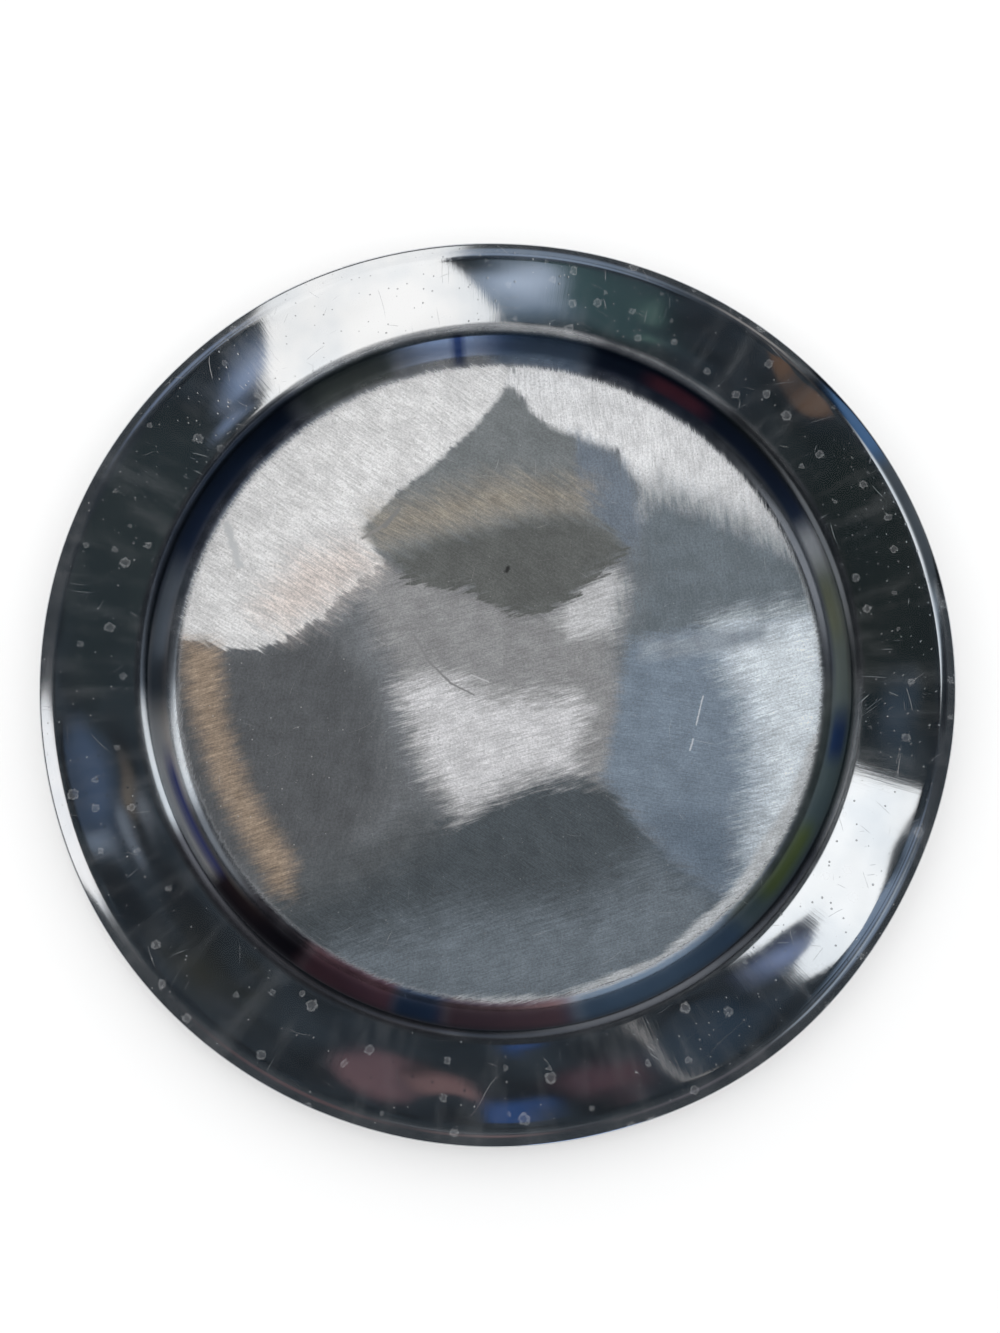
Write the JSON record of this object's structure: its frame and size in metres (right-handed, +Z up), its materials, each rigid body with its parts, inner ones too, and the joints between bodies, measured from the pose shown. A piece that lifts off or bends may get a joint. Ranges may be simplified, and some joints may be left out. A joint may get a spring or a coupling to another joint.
{
  "type": "serving plate",
  "caption": "Round metal serving plate with a flat brushed floor, a curved well wall, a sloping polished rim and a lip that rolls gently down.",
  "frame": {"origin": "centre of the plate's round outline, on the flat back of its floor, where it rests", "axes": "+Z up out of the well; the plate is round, so +X and +Y are only the right and the top of the picture"},
  "size_m": [0.305, 0.305, 0.018],
  "materials": {
    "metal": "mirror-polished rim and well wall, floor hand-brushed satin in overlapping patches"
  },
  "bodies": {
    "root": {"plate": "metal"}
  },
  "joints": []
}
